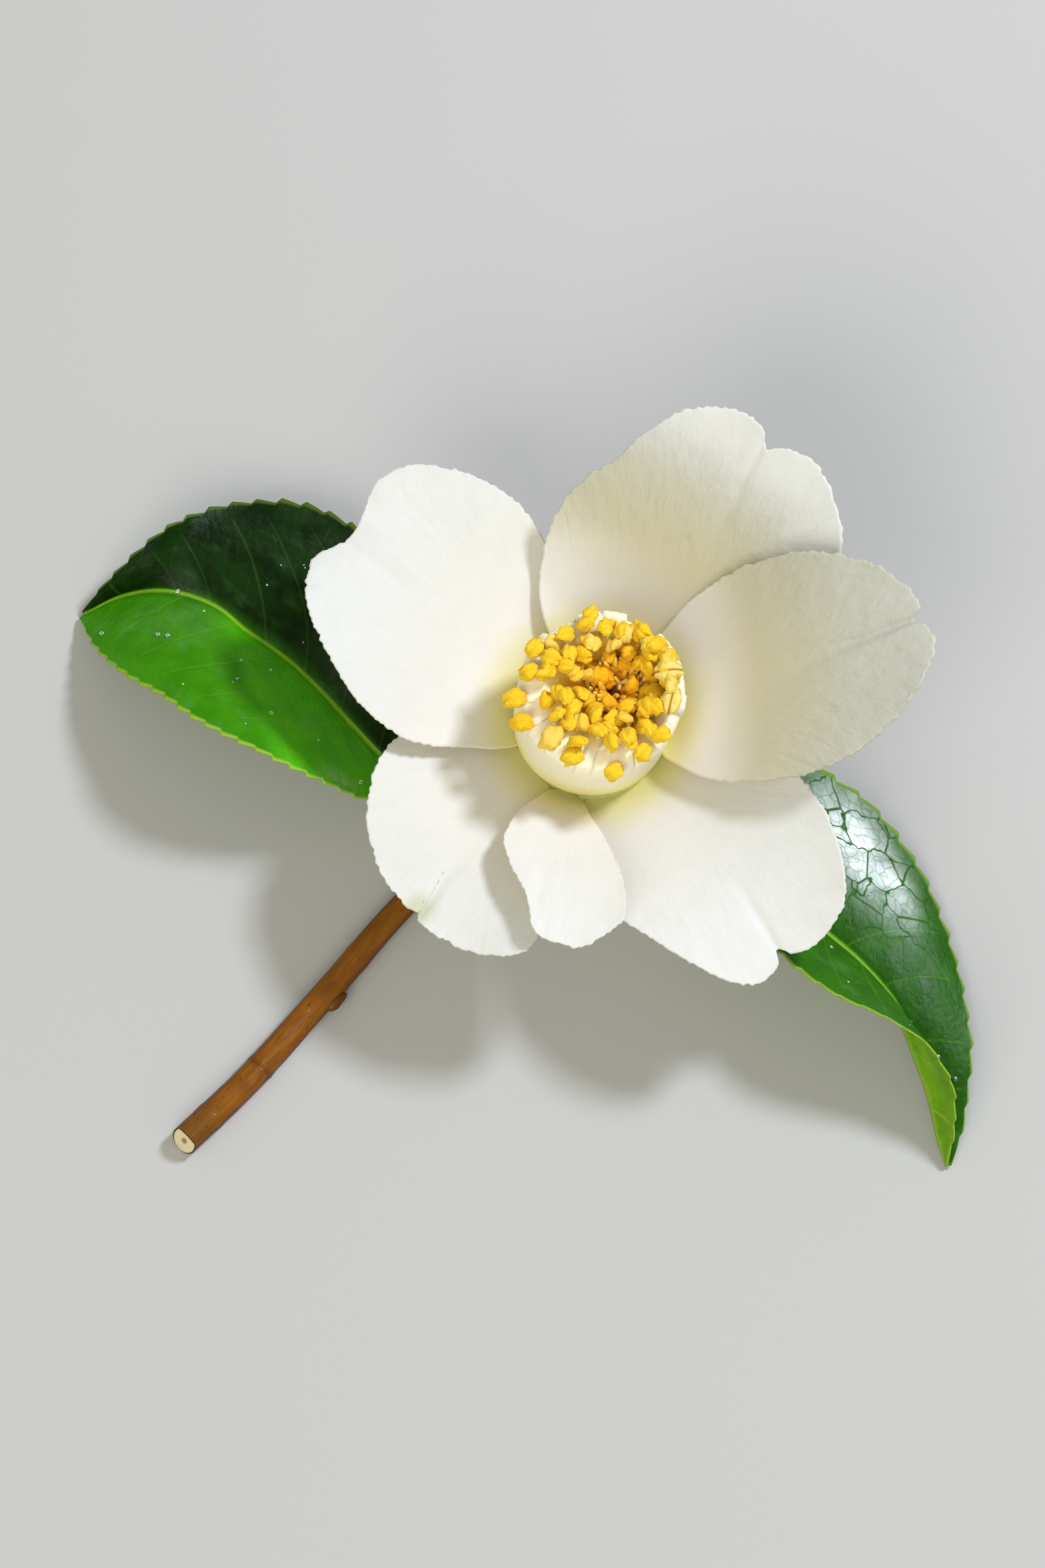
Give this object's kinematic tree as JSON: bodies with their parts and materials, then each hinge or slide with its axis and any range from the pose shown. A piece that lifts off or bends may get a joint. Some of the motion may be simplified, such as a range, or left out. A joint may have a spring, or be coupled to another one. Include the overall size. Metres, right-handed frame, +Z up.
{
  "type": "camellia flower",
  "caption": "Open single white camellia bloom with a yellow stamen boss, on a cut brown side shoot with glossy toothed leaves, lying down.",
  "frame": {"origin": "on the surface the flower lies on, under the middle of the bloom, in the small flat under the side shoot", "axes": "+Z up along the bloom's axis, +X towards the right-hand petal, +Y towards the top petal"},
  "size_m": [0.1041, 0.082, 0.0356],
  "materials": {
    "petal": "soft satin white, slightly translucent",
    "stamen": "matte yellow anthers on cream filaments",
    "pistil": "pale yellow-green, satin",
    "calyx": "green scales with pale silky edges",
    "bark": "smooth orange-brown bark, satin",
    "bud": "pale green scales, satin",
    "leaf": "glossy dark green with paler veins"
  },
  "bodies": {
    "root": {"petal_left": "petal", "petal_top": "petal", "petal_right": "petal", "petal_lower_right": "petal", "petal_bottom": "petal", "petal_lower_left": "petal", "stamens": "stamen", "pistil": "pistil", "calyx": "calyx", "twig": "bark", "shoot_bud": "bud", "leaf_left": "leaf", "leaf_right": "leaf"}
  },
  "joints": []
}
